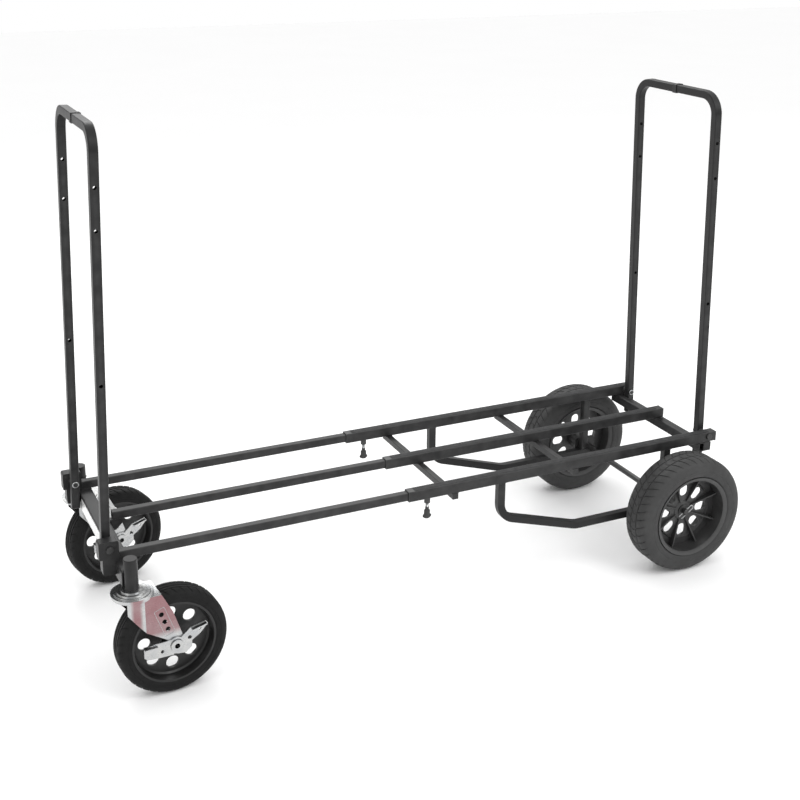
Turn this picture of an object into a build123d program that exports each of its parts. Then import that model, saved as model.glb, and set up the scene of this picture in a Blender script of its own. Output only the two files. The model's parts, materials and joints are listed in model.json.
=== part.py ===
"""Convertible hand truck: a telescoping flat cart with two folding U handles.

Millimetres, +Z up. +X runs from the caster end (front) to the big-wheel end (rear).
Left is the -Y side. The origin is on the floor, midway between the two handle pivots,
which is within 8 mm of the centre of the bounding box.
"""

from build123d import *
from math import atan2, cos, radians, sin, tan
import os

os.makedirs("parts", exist_ok=True)

# ---- driving dimensions -------------------------------------------------------------
PIVOT_X = 646.25            # handle pivots, front at -X and rear at +X
RAIL_Y = 154.5              # centre of the left and right rails from the middle rail
CASTER_WHEEL_R = 101.5      # sets the height of the deck
REAR_WHEEL_R = 127.0
HANDLE_LENGTH = 734.0       # pivot to the top of the handle
RETRACT_STROKE = 400.0      # travel of the front frame into the rear frame

# ---- tubes --------------------------------------------------------------------------
OUTER_TUBE = 21.0
OUTER_WALL = 2.0
SLIDE_GAP = 0.5             # clearance between an inner and an outer rail, each side
INNER_TUBE = OUTER_TUBE - 2 * OUTER_WALL - 2 * SLIDE_GAP
INNER_WALL = 1.5
TUBE_CORNER = 2.0
LOOP_TUBE = 16.0
LOOP_WALL = 1.5
HANDLE_TUBE = 16.0
HANDLE_WALL = 1.5
CROSS_BAR = 12.7

# ---- heights of the swivel, from the caster wheel up to the deck --------------------
TYRE_GAP = 0.6              # tyre to the underside of the crown
FORK_WALL = 3.0
CROWN_RISE = 4.2
RACE_GAP = 0.4              # between the swivel's two halves
FORK_UNDER = 2 * CASTER_WHEEL_R + TYRE_GAP
CROWN_LEVEL = FORK_UNDER + FORK_WALL
CROWN_TOP = CROWN_LEVEL + CROWN_RISE
RACE_BOTTOM = CROWN_TOP + RACE_GAP
RACE_STEPS = ((19.0, 5.8), (26.5, 3.8), (32.0, 1.8))     # radius, height
SOCKET_BOTTOM = RACE_BOTTOM + RACE_STEPS[0][1]
CHANNEL_RISE = 2.0          # socket's lower end to the channel's underside
CHANNEL_HEIGHT = 31.5
FRONT_CHANNEL_BOTTOM = SOCKET_BOTTOM + CHANNEL_RISE
INNER_BOTTOM = FRONT_CHANNEL_BOTTOM + CHANNEL_HEIGHT
RAIL_Z = INNER_BOTTOM + INNER_TUBE / 2
RAIL_TOP = RAIL_Z + OUTER_TUBE / 2
RAIL_BOTTOM = RAIL_Z - OUTER_TUBE / 2
RAIL_OUT_Y = RAIL_Y + OUTER_TUBE / 2
RAIL_IN_Y = RAIL_Y - OUTER_TUBE / 2

# ---- outer rails --------------------------------------------------------------------
SIDE_RAIL_FRONT = -68.0
SIDE_RAIL_REAR = PIVOT_X + 20.75
MIDDLE_RAIL_FRONT = SIDE_RAIL_FRONT + 22.5
MIDDLE_RAIL_REAR = PIVOT_X - 3.75
GUIDE_LENGTH = 12.0         # plastic guide let into the top of an outer rail's mouth
GUIDE_THICK = 0.8
GUIDE_WIDTH = OUTER_TUBE - 2 * TUBE_CORNER
END_CAP = 3.0
END_CAP_PLUG = 12.0
PLUG_GAP = 0.1

# ---- handles ------------------------------------------------------------------------
HANDLE_SPACE = 6.5          # between a leg and the rail beside it
HANDLE_LEG_Y = RAIL_IN_Y - HANDLE_SPACE - HANDLE_TUBE / 2
HANDLE_BEND_R = 38.0
HANDLE_FOOT = 49.0          # leg below the pivot, which leans on the cross channel
HANDLE_LEAN = 2.0           # degrees inward when upright
HANDLE_HOLES = (293.0, 561.0, 633.0)
HANDLE_HOLE_D = 7.0
HANDLE_JOINT_LENGTH = 12.0
HANDLE_JOINT_WALL = 1.2
FRONT_PIVOT_Z = RAIL_TOP + 6.0
REAR_PIVOT_Z = RAIL_Z + 1.5
FOOT_GAP = 0.95             # leg to cross channel, at the height of the pivot
PIVOT_BOLT_D = 8.0
PIVOT_BORE_GAP = 0.1
BOLT_HEAD_D = 13.0
BOLT_HEAD_H = 4.0
CLIP_WIRE = 2.4
FOOT_THICK = 2.0
FOOT_ROUND = 0.8

# ---- front frame --------------------------------------------------------------------
CHANNEL_WALL = 2.0
FRONT_CHANNEL_X = FOOT_GAP + HANDLE_TUBE / 2 - PIVOT_X          # its front face
FRONT_CHANNEL_REAR = 34.75 - PIVOT_X
SOCKET_BITE = 2.0           # how far the channel's end reaches past a socket's centre line
BLOCK_FRONT = -19.25 - PIVOT_X
BLOCK_REAR = 16.25 - PIVOT_X
BLOCK_TOP = FRONT_PIVOT_Z + 15.0
BLOCK_SPLIT = RAIL_Z - 1.5
BLOCK_ROUND = 4.0
TAB_FRONT = BLOCK_FRONT + 5.5
TAB_BOTTOM = FRONT_CHANNEL_BOTTOM + 7.0
PLATE_THICK = 1.5
PLATE_HALF_WIDTH = HANDLE_LEG_Y - HANDLE_TUBE / 2 - 9.5

# ---- inner rails --------------------------------------------------------------------
INNER_STOP_GAP = 114.25     # a retracted inner rail's end to the rear pivot
INNER_END = PIVOT_X - RETRACT_STROKE - INNER_STOP_GAP
MIDDLE_INNER_FRONT = FRONT_CHANNEL_REAR + 6.5
GUSSET_REAR = MIDDLE_INNER_FRONT + 17.0
GUSSET_BOTTOM = FRONT_CHANNEL_BOTTOM + 10.0
GUSSET_WIDTH = 12.0

# ---- casters ------------------------------------------------------------------------
CASTER_X = 24.75 - PIVOT_X
CASTER_Y = RAIL_OUT_Y + 42.7
CASTER_TRAIL = 65.0
LEFT_CASTER_TURN = 4.4      # degrees, how the casters stand
RIGHT_CASTER_TURN = 13.5
SOCKET_D = 24.5
SOCKET_TOP = RAIL_TOP + 6.0
SOCKET_CAP = 3.0
CASTER_TYRE_W = 47.5
CASTER_TYRE_DEPTH = 23.5
CASTER_SHOULDER = 13.0
CASTER_TYRE_BORE = CASTER_WHEEL_R - CASTER_TYRE_DEPTH
CASTER_HUB_W = CASTER_TYRE_W - 4.5
CASTER_RIM_WALL = 4.0
CASTER_WEB = 5.0
CASTER_BOSS_R = 17.0
CASTER_HOLES = 8
CASTER_HOLE_D = 23.5
CASTER_HOLE_R = (CASTER_BOSS_R + CASTER_TYRE_BORE) / 2 + 2.5
CASTER_AXLE_D = 14.0
WHEEL_GAP = 0.1             # running clearance of a wheel on its axle, radial
AXLE_RING_R = 11.5
AXLE_RING_BORE = 9.8
AXLE_RING_H = 6.0

# ---- caster forks -------------------------------------------------------------------
FORK_SIDE_GAP = 2.25        # tyre to fork leg
BOSS_SIDE_GAP = 0.6         # hub boss to fork leg
FORK_IN = CASTER_TYRE_W / 2 + FORK_SIDE_GAP
FORK_HALF = FORK_IN + FORK_WALL
CASTER_BOSS_HALF = FORK_IN - BOSS_SIDE_GAP
SKIRT_R = FORK_HALF + 2.5
CROWN_R = SKIRT_R + 6.0
CROWN_PLATE_R = CROWN_R - 1.5
SKIRT_FRONT = 40.0          # ahead of the kingpin
SKIRT_EDGE = 8.6            # crown to the skirt's lower edge at the front
SKIRT_BREAK = (27.0, 14.6)  # where the edge turns down: ahead of the kingpin, below the crown
FORK_EYE_R = 17.0
FORK_EYE_ANGLES = (22.0, 136.0)         # where the straight edges meet the eye
FORK_FRONT_KNEE = (52.0, 37.5)          # ahead of the axle, above the axle
FORK_REAR_KNEE = (3.0, 66.5)
FORK_REAR_TOP = 22.0                    # ahead of the axle, at the crown
FORK_HOLE_D = 9.0
FORK_HOLE_PITCH = 16.5
FORK_HOLE_MIDDLE = (19.0, 51.0)         # ahead of the axle, above the axle
KINGPIN_D = 12.0
KINGPIN_NUT = 20.0
KINGPIN_NUT_H = 6.6

# ---- brake lever: outlines about the wheel's axle, back and up ----------------------
LEVER_THICK = 2.5
LEVER_GAP = 0.5
LEVER_EYE_R = 16.0
LEVER_TAB = 9.0
LEVER_FRONT_ARM = ((-60, 11), (-36, 13), (-10, 13), (-6, -17), (-34, -16), (-54, -14), (-60, -9))
LEVER_REAR_ARM = ((9, 14), (26, 28), (55, 34), (59, 28), (44, 12), (28, 2), (28, -9), (16, -19), (0, -17))
LEVER_HOLES = ((-27, -5, 6.4), (24, 9, 7.6))            # back, up, diameter
LEVER_SLOT = (45, 22)
LEVER_SLOT_SIZE = (10.0, 3.0)
LEVER_SLOT_ANGLE = 42.0
FRONT_PAD = (-60, -37, 9)               # from, to, height
REAR_PAD = (41, 29)
REAR_PAD_LENGTH = 28.0
REAR_PAD_ANGLE = 12.0

# ---- rear wheels and axle -----------------------------------------------------------
AXLE_X = PIVOT_X - 93.25
AXLE_D = 12.7
REAR_WHEEL_Y = RAIL_Y + 59.7
REAR_WHEEL_W = 76.0
REAR_TYRE_DEPTH = 39.0
REAR_SHOULDER = 20.0
RIM_LIP = 4.0
RIM_LIP_R = REAR_WHEEL_R - REAR_TYRE_DEPTH
RIM_R = RIM_LIP_R - RIM_LIP
RIM_WALL = 4.0
RIM_HALF = REAR_WHEEL_W / 2 - RIM_LIP - 1.0
REAR_WEB_OUT = -1.0         # outer face of the web, from the wheel's middle plane
REAR_WEB = 4.0
REAR_BOSS_R = 20.0
REAR_BOSS_IN = -42.0
REAR_BOSS_RISE = 2.0
RIM_SPOKES = 8
RIM_RIB = 2.6
RIM_RIB_HUB = 2.0
RIM_RIB_RIM = 15.0
RIM_RING_R = RIM_R - 21.0
RIM_RING_RISE = 4.0
RIM_RING_HALF = 2.0
WINDOW_LENGTH = 28.0
WINDOW_WIDTH = 20.0
WINDOW_R = (REAR_BOSS_R + RIM_RING_R) / 2 + 4.5
BUSH_WALL = 2.0
WASHER_R = 12.5
WASHER_H = 2.0
AXLE_SPACER_WALL = 4.0
COTTER_OUT = 8.0            # cotter pin beyond the outer washer
COTTER_D = 2.4
COTTER_LENGTH = 34.0
COTTER_GAP = 9.0            # between the hairpin's two legs
COTTER_LEAN = 55.0
AXLE_END = 12.5

# ---- rear frame ---------------------------------------------------------------------
LOOP_LEG_X = 139.0
LOOP_VERTEX_X = 321.0
LOOP_LOW_Z = REAR_WHEEL_R - 12.0
LOOP_SLOPE = 17.2
LOOP_BEND_R = 40.0
LOOP_VERTEX_R = 60.0
LOOP_REAR = AXLE_X + 21.0
POST_X = AXLE_X - 10.5
POST_TUBE = 16.0
AXLE_PLATE_THICK = 3.0
AXLE_PLATE_LENGTH = 52.0
AXLE_PLATE_HEIGHT = 40.0
CROSS_BAR_X = (SIDE_RAIL_FRONT + 100.0, SIDE_RAIL_FRONT + 378.0)
REAR_CHANNEL_FRONT = PIVOT_X - 23.25
REAR_CHANNEL_REAR = PIVOT_X - HANDLE_TUBE / 2 - FOOT_GAP
REAR_CHANNEL_BOTTOM = RAIL_BOTTOM - 20.0
LEDGE_REAR = PIVOT_X - 1.25
LEDGE_THICK = 3.0
LEDGE_HALF = HANDLE_LEG_Y - HANDLE_TUBE / 2 - 5.5
REAR_TAB_REAR = PIVOT_X + 7.25

# ---- thumb screws -------------------------------------------------------------------
SCREW_X = SIDE_RAIL_FRONT + 43.0
SCREW_D = 6.0
SCREW_BOSS_D = 12.0
SCREW_BOSS_H = 12.0
SCREW_GAP = 0.1
KNOB_TOP = RAIL_BOTTOM - 21.0
KNOB_HEIGHT = 24.0
KNOB_HUB_H = 18.0
KNOB_STEP = 3.0             # top of the hub above the wings
KNOB_BOTTOM = KNOB_TOP - KNOB_HEIGHT
KNOB_HALF = 11.5
KNOB_THICK = 7.0
KNOB_HUB_R = 6.0
KNOB_ROUND = 6.0

CUT = 1.0                   # how far a cutting solid runs past the faces it cuts

SIDES = (("left", -1), ("right", 1))


def save(name, *shapes):
    """Write one node. Several shapes stay separate solids."""
    solids = []
    for shape in shapes:
        solids.extend(shape.solids())
    body = solids[0] if len(solids) == 1 else Compound(children=solids)
    body.label = name
    export_step(body, f"parts/{name}.step")


def box(x0, x1, y0, y1, z0, z1):
    """A box from its six faces."""
    middle = Pos((x0 + x1) / 2, (y0 + y1) / 2, (z0 + z1) / 2)
    return middle * Box(abs(x1 - x0), abs(y1 - y0), abs(z1 - z0))


def rod_y(x, z, y0, y1, diameter):
    """A round rod along Y."""
    return Pos(x, (y0 + y1) / 2, z) * Rot(90, 0, 0) * Cylinder(diameter / 2, abs(y1 - y0))


def rod_z(x, y, z0, z1, diameter):
    """A round rod along Z."""
    return Pos(x, y, (z0 + z1) / 2) * Cylinder(diameter / 2, abs(z1 - z0))


def ring_y(x, z, y0, y1, outer, inner):
    """A washer or bush along Y."""
    low, high = sorted((y0, y1))
    return rod_y(x, z, low, high, outer) - rod_y(x, z, low - CUT, high + CUT, inner)


def square_profile(size, wall):
    """The section of a square tube with rounded corners."""
    hole = size - 2 * wall
    return RectangleRounded(size, size, TUBE_CORNER) - RectangleRounded(hole, hole, TUBE_CORNER / 2)


def tube_x(x0, x1, y, z, size, wall):
    """A square tube along X."""
    start = Plane(origin=(x0, y, z), x_dir=(0, 1, 0), z_dir=(1, 0, 0))
    return extrude(start * square_profile(size, wall), x1 - x0)


def bent_tube(points, radii, size, wall):
    """A square tube along straight runs joined by arcs, with its volume checked."""
    route = FilletPolyline(*points, radius=radii)
    start = Plane(origin=route @ 0, z_dir=route % 0, x_dir=(0, 1, 0))
    section = start * square_profile(size, wall)
    tube = sweep(section, path=route)
    expected = section.area * route.length
    assert abs(tube.volume / expected - 1) < 0.02
    return tube


def turned(points):
    """A solid of revolution about Z from (radius, height) points."""
    outline = [(radius, 0, height) for radius, height in points]
    return revolve(make_face(Polyline(*outline, close=True)), axis=Axis.Z)


def wheel_frame(x, y, z, outward):
    """Places a wheel made about Z, with its outer side up, on an axle along Y."""
    return Pos(x, y, z) * Rot(-90 * outward, 0, 0)


# ---- rear frame ---------------------------------------------------------------------
def guide_tongue(y, front, rear, top):
    """The guide's flat tongue, level with the rail's top when top is the rail's own."""
    half = GUIDE_WIDTH / 2
    return box(front, rear, y - half, y + half, RAIL_TOP - GUIDE_THICK, top)


def outer_rail(name, y, front, rear, pivot_hole):
    rail = tube_x(front, rear - END_CAP, y, RAIL_Z, OUTER_TUBE, OUTER_WALL)
    rail -= guide_tongue(y, front - CUT, front + GUIDE_LENGTH, RAIL_TOP + CUT)
    if pivot_hole:
        inner_y = y - OUTER_TUBE
        outer_y = y + OUTER_TUBE
        rail -= rod_y(PIVOT_X, REAR_PIVOT_Z, inner_y, outer_y, PIVOT_BOLT_D + 2 * PIVOT_BORE_GAP)
        rail -= rod_z(SCREW_X, y, RAIL_BOTTOM - CUT, RAIL_Z, SCREW_D + 2 * SCREW_GAP)
    save(name, rail)


def rail_guide(y, front):
    """A lip on the rail's mouth that guides the inner rail, with a tongue let into the top."""
    hole = INNER_TUBE + 2 * SLIDE_GAP
    around = Plane(origin=(front, y, RAIL_Z), x_dir=(0, 1, 0), z_dir=(1, 0, 0))
    lip = RectangleRounded(OUTER_TUBE, OUTER_TUBE, TUBE_CORNER)
    lip -= RectangleRounded(hole, hole, TUBE_CORNER / 2)
    return extrude(around * lip, -GUIDE_THICK) + guide_tongue(y, front, front + GUIDE_LENGTH, RAIL_TOP)


def rail_end_cap(y, rear):
    """A flush plug with a flange, in the rear mouth of an outer rail."""
    size = OUTER_TUBE - 2 * OUTER_WALL - 2 * PLUG_GAP
    flange = box(rear, rear + END_CAP, y - OUTER_TUBE / 2, y + OUTER_TUBE / 2, RAIL_BOTTOM, RAIL_TOP)
    flange = fillet(flange.edges().group_by(Axis.X)[-1], END_CAP / 2)
    mouth = Plane(origin=(rear, y, RAIL_Z), x_dir=(0, 1, 0), z_dir=(1, 0, 0))
    return flange + extrude(mouth * RectangleRounded(size, size, TUBE_CORNER / 2), -END_CAP_PLUG)


def axle_rod(y):
    """The axle's space through one side of the frame."""
    return rod_y(AXLE_X, REAR_WHEEL_R, y - LOOP_TUBE, y + LOOP_TUBE, AXLE_D)


def side_loop(name, y):
    """The bent tube under a side rail: down, back along a slope, then level to the axle."""
    rise = (LOOP_VERTEX_X - LOOP_LEG_X) * tan(radians(LOOP_SLOPE))
    corner = (LOOP_LEG_X, y, LOOP_LOW_Z + rise)
    vertex = (LOOP_VERTEX_X, y, LOOP_LOW_Z)
    points = [(LOOP_LEG_X, y, RAIL_BOTTOM), corner, vertex, (LOOP_REAR, y, LOOP_LOW_Z)]
    loop = bent_tube(points, [LOOP_BEND_R, LOOP_VERTEX_R], LOOP_TUBE, LOOP_WALL)
    save(name, loop - axle_rod(y))


def axle_post(y):
    top = LOOP_LOW_Z + LOOP_TUBE / 2
    start = Plane(origin=(POST_X, y, top), x_dir=(0, 1, 0), z_dir=(0, 0, 1))
    return extrude(start * square_profile(POST_TUBE, LOOP_WALL), RAIL_BOTTOM - top) - axle_rod(y)


def axle_plate(side_y, sign):
    """A plate on the outer face of the post and the loop, which carries the axle."""
    inner = side_y + sign * LOOP_TUBE / 2
    outer = inner + sign * AXLE_PLATE_THICK
    x0 = AXLE_X - AXLE_PLATE_LENGTH / 2
    z0 = LOOP_LOW_Z - LOOP_TUBE / 2
    plate = box(x0, x0 + AXLE_PLATE_LENGTH, inner, outer, z0, z0 + AXLE_PLATE_HEIGHT)
    plate = fillet(plate.edges().filter_by(Axis.Y).group_by(Axis.Z)[-1], AXLE_PLATE_HEIGHT / 4)
    return plate - axle_rod(side_y)


def rear_channel():
    half = RAIL_OUT_Y
    bar = box(REAR_CHANNEL_FRONT, REAR_CHANNEL_REAR, -half, half, REAR_CHANNEL_BOTTOM, RAIL_BOTTOM)
    bar = fillet(bar.edges().filter_by(Axis.Y), TUBE_CORNER)
    wall = CHANNEL_WALL
    hollow = box(REAR_CHANNEL_FRONT + wall, REAR_CHANNEL_REAR - wall, -half - CUT, half + CUT,
                 REAR_CHANNEL_BOTTOM + wall, RAIL_BOTTOM - wall)
    top = RAIL_BOTTOM - TUBE_CORNER
    ledge = box(REAR_CHANNEL_REAR - wall / 2, LEDGE_REAR, -LEDGE_HALF, LEDGE_HALF, top - LEDGE_THICK, top)
    save("rear_cross_channel", (bar - hollow) + ledge)


def rear_tab(sign):
    """The block under a side rail's end that closes the channel's end."""
    tab = box(REAR_CHANNEL_REAR, REAR_TAB_REAR, sign * RAIL_IN_Y, sign * RAIL_OUT_Y,
              REAR_CHANNEL_BOTTOM, RAIL_BOTTOM)
    return fillet(tab.edges().filter_by(Axis.Y).group_by(Axis.X)[-1], TUBE_CORNER)


def cross_bar(name, x):
    low = RAIL_BOTTOM - CROSS_BAR
    bar = box(x - CROSS_BAR / 2, x + CROSS_BAR / 2, -RAIL_OUT_Y, RAIL_OUT_Y, low, RAIL_BOTTOM)
    save(name, fillet(bar.edges().filter_by(Axis.Y), TUBE_CORNER / 2))


def rear_frame():
    outer_rail("left_outer_rail", -RAIL_Y, SIDE_RAIL_FRONT, SIDE_RAIL_REAR, True)
    outer_rail("right_outer_rail", RAIL_Y, SIDE_RAIL_FRONT, SIDE_RAIL_REAR, True)
    outer_rail("middle_outer_rail", 0, MIDDLE_RAIL_FRONT, MIDDLE_RAIL_REAR, False)
    places = ((-RAIL_Y, SIDE_RAIL_FRONT, SIDE_RAIL_REAR), (0, MIDDLE_RAIL_FRONT, MIDDLE_RAIL_REAR),
              (RAIL_Y, SIDE_RAIL_FRONT, SIDE_RAIL_REAR))
    save("rail_guides", *[rail_guide(y, front) for y, front, rear in places])
    save("rail_end_caps", *[rail_end_cap(y, rear - END_CAP) for y, front, rear in places])
    rear_channel()
    for name, x in zip(("front_cross_bar", "rear_cross_bar"), CROSS_BAR_X):
        cross_bar(name, x)
    for side, sign in SIDES:
        side_loop(f"{side}_side_loop", sign * RAIL_Y)
    save("axle_posts", *[axle_post(sign * RAIL_Y) for side, sign in SIDES])
    save("axle_plates", *[axle_plate(sign * RAIL_Y, sign) for side, sign in SIDES])
    save("rear_tabs", *[rear_tab(sign) for side, sign in SIDES])
    save("thumb_screw_nuts", *[screw_nut(sign * RAIL_Y) for side, sign in SIDES])


# ---- front frame --------------------------------------------------------------------
def front_channel():
    half = CASTER_Y - SOCKET_BITE
    bar = box(FRONT_CHANNEL_X, FRONT_CHANNEL_REAR, -half, half, FRONT_CHANNEL_BOTTOM, INNER_BOTTOM)
    bar = fillet(bar.edges().filter_by(Axis.Y), TUBE_CORNER)
    wall = CHANNEL_WALL
    bar -= box(FRONT_CHANNEL_X + wall, FRONT_CHANNEL_REAR - wall, -half - CUT, half + CUT,
               FRONT_CHANNEL_BOTTOM + wall, INNER_BOTTOM - wall)
    for side, sign in SIDES:
        bar -= rod_z(CASTER_X, sign * CASTER_Y, FRONT_CHANNEL_BOTTOM - CUT, BLOCK_TOP, SOCKET_D)
    save("front_cross_channel", bar)


def corner_block(name, sign):
    """The bracket that joins a side rail to the channel and carries the handle's pivot."""
    inner = sign * RAIL_IN_Y
    outer = sign * RAIL_OUT_Y
    head = box(BLOCK_FRONT, BLOCK_REAR, inner, outer, BLOCK_SPLIT, BLOCK_TOP)
    head = fillet(head.edges().filter_by(Axis.Y).group_by(Axis.Z)[-1], BLOCK_ROUND)
    web = box(FRONT_CHANNEL_X - CUT, BLOCK_REAR, inner, outer, INNER_BOTTOM, BLOCK_SPLIT + CUT)
    tab = box(TAB_FRONT, FRONT_CHANNEL_X, inner, outer, TAB_BOTTOM, BLOCK_SPLIT + CUT)
    tab = fillet(tab.edges().filter_by(Axis.Y).group_by(Axis.Z)[0].group_by(Axis.X)[0], BLOCK_ROUND)
    block = head + web + tab
    block -= rod_y(-PIVOT_X, FRONT_PIVOT_Z, inner - CUT * sign, outer + CUT * sign,
                   PIVOT_BOLT_D + 2 * PIVOT_BORE_GAP)
    save(name, block)


def inner_rail(name, y, front):
    save(name, tube_x(front, INNER_END, y, RAIL_Z, INNER_TUBE, INNER_WALL))


def caster_socket(name, sign):
    """The upright tube, welded to the end of the channel, that holds a caster's stem."""
    y = sign * CASTER_Y
    tube = rod_z(CASTER_X, y, SOCKET_BOTTOM, SOCKET_TOP, SOCKET_D)
    tube = fillet(tube.edges().group_by(Axis.Z)[-1], SOCKET_CAP / 3)
    save(name, tube - rod_z(CASTER_X, y, SOCKET_BOTTOM - CUT, SOCKET_TOP - SOCKET_CAP, KINGPIN_D))


def upper_race(sign):
    """The fixed, stepped top half of the swivel bearing."""
    bore = KINGPIN_D / 2 + WHEEL_GAP
    points = [(bore, 0), (bore, RACE_STEPS[0][1])]
    below = [height for radius, height in RACE_STEPS[1:]] + [0]
    for (radius, height), step in zip(RACE_STEPS, below):
        points.append((radius, height))
        points.append((radius, step))
    return Pos(CASTER_X, sign * CASTER_Y, RACE_BOTTOM) * turned(points)


def front_frame():
    front_channel()
    plate = box(FRONT_CHANNEL_X - PLATE_THICK, FRONT_CHANNEL_X, -PLATE_HALF_WIDTH, PLATE_HALF_WIDTH,
                FRONT_CHANNEL_BOTTOM + 2 * TUBE_CORNER, INNER_BOTTOM - 2 * TUBE_CORNER)
    save("front_face_plate", plate)
    inner_rail("left_inner_rail", -RAIL_Y, BLOCK_REAR)
    inner_rail("middle_inner_rail", 0, MIDDLE_INNER_FRONT)
    inner_rail("right_inner_rail", RAIL_Y, BLOCK_REAR)
    gusset = box(FRONT_CHANNEL_REAR, GUSSET_REAR, -GUSSET_WIDTH / 2, GUSSET_WIDTH / 2,
                 GUSSET_BOTTOM, INNER_BOTTOM)
    corner = gusset.edges().filter_by(Axis.Y).group_by(Axis.Z)[0].group_by(Axis.X)[-1]
    gusset = chamfer(corner, GUSSET_WIDTH)
    save("middle_rail_gusset", gusset)
    for side, sign in SIDES:
        corner_block(f"{side}_corner_block", sign)
        caster_socket(f"{side}_caster_socket", sign)
    save("swivel_upper_races", *[upper_race(sign) for side, sign in SIDES])


# ---- handles ------------------------------------------------------------------------
def handle(name, x, pivot_z, lean):
    """A U of square tube, upright about its pivot, then leaned inward."""
    top = HANDLE_LENGTH - HANDLE_TUBE / 2
    y = HANDLE_LEG_Y
    points = [(0, -y, -HANDLE_FOOT), (0, -y, top), (0, y, top), (0, y, -HANDLE_FOOT)]
    tube = bent_tube(points, HANDLE_BEND_R, HANDLE_TUBE, HANDLE_WALL)
    for height in HANDLE_HOLES:
        tube -= rod_y(0, height, -y - HANDLE_TUBE, y + HANDLE_TUBE, HANDLE_HOLE_D)
    tube -= rod_y(0, 0, -y - HANDLE_TUBE, y + HANDLE_TUBE, PIVOT_BOLT_D + 2 * PIVOT_BORE_GAP)
    place = Pos(x, 0, pivot_z) * Rot(0, lean, 0)
    save(f"{name}_tube", place * tube)
    joint_size = HANDLE_TUBE + 2 * HANDLE_JOINT_WALL
    across = Plane(origin=(0, -HANDLE_JOINT_LENGTH / 2, top), x_dir=(1, 0, 0), z_dir=(0, 1, 0))
    collar = RectangleRounded(joint_size, joint_size, TUBE_CORNER)
    collar -= RectangleRounded(HANDLE_TUBE, HANDLE_TUBE, TUBE_CORNER)
    save(f"{name}_collar", place * extrude(across * collar, HANDLE_JOINT_LENGTH))
    half = HANDLE_TUBE / 2
    feet = []
    for side, sign in SIDES:
        middle = sign * y
        foot = box(-half, half, middle - half, middle + half, -HANDLE_FOOT - FOOT_THICK, -HANDLE_FOOT)
        feet.append(place * fillet(foot.edges().group_by(Axis.Z)[0], FOOT_ROUND))
    save(f"{name}_feet", *feet)


def pivot_bolt(x, z, sign):
    """A bolt from outside the rail, through rail, spacer and leg."""
    head_y = sign * RAIL_OUT_Y
    end_y = sign * (HANDLE_LEG_Y - HANDLE_TUBE / 2 - BOLT_HEAD_H)
    shank = rod_y(x, z, head_y, end_y, PIVOT_BOLT_D)
    head = rod_y(x, z, head_y, head_y + sign * BOLT_HEAD_H, BOLT_HEAD_D)
    head = fillet(head.edges().sort_by(Axis.Y)[-1 if sign > 0 else 0], BOLT_HEAD_H / 3)
    return shank + head


def pivot_spacer(x, z, sign):
    gap = PIVOT_BORE_GAP
    y0 = sign * (HANDLE_LEG_Y + HANDLE_TUBE / 2 + gap)
    y1 = sign * RAIL_IN_Y
    return ring_y(x, z, y0, y1, HANDLE_TUBE, PIVOT_BOLT_D + 2 * gap)


def pivot_clip(x, z, sign):
    """The sprung ring that holds the bolt's inner end."""
    y = sign * (HANDLE_LEG_Y - HANDLE_TUBE / 2 - BOLT_HEAD_H / 2)
    return Pos(x, y, z) * Rot(90, 0, 0) * Torus((PIVOT_BOLT_D + CLIP_WIRE) / 2, CLIP_WIRE / 2)


def handles():
    for end, x, z, lean in (("front", -PIVOT_X, FRONT_PIVOT_Z, HANDLE_LEAN),
                            ("rear", PIVOT_X, REAR_PIVOT_Z, -HANDLE_LEAN)):
        handle(f"{end}_handle", x, z, lean)
        save(f"{end}_pivot_bolts", *[pivot_bolt(x, z, sign) for side, sign in SIDES])
        save(f"{end}_pivot_clips", *[pivot_clip(x, z, sign) for side, sign in SIDES])
        save(f"{end}_pivot_spacers", *[pivot_spacer(x, z, sign) for side, sign in SIDES])


# ---- casters ------------------------------------------------------------------------
def fork_outline():
    """The fork's side view: X back from the kingpin, Z above the floor."""
    trail = CASTER_TRAIL
    axle = CASTER_WHEEL_R
    low, high = [radians(angle) for angle in FORK_EYE_ANGLES]
    rear_low = (trail + FORK_EYE_R * cos(low), 0, axle + FORK_EYE_R * sin(low))
    front_low = (trail + FORK_EYE_R * cos(high), 0, axle + FORK_EYE_R * sin(high))
    edge = Polyline(
        front_low,
        (trail - FORK_FRONT_KNEE[0], 0, axle + FORK_FRONT_KNEE[1]),
        (-SKIRT_BREAK[0], 0, CROWN_LEVEL - SKIRT_BREAK[1]),
        (-SKIRT_FRONT, 0, CROWN_LEVEL - SKIRT_EDGE),
        (-SKIRT_FRONT, 0, CROWN_LEVEL),
        (trail - FORK_REAR_TOP, 0, CROWN_LEVEL),
        (trail - FORK_REAR_KNEE[0], 0, axle + FORK_REAR_KNEE[1]),
        rear_low)
    edge += ThreePointArc(rear_low, (trail, 0, axle - FORK_EYE_R), front_low)
    return extrude(make_face(edge), 2 * SKIRT_R, both=True)


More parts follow.
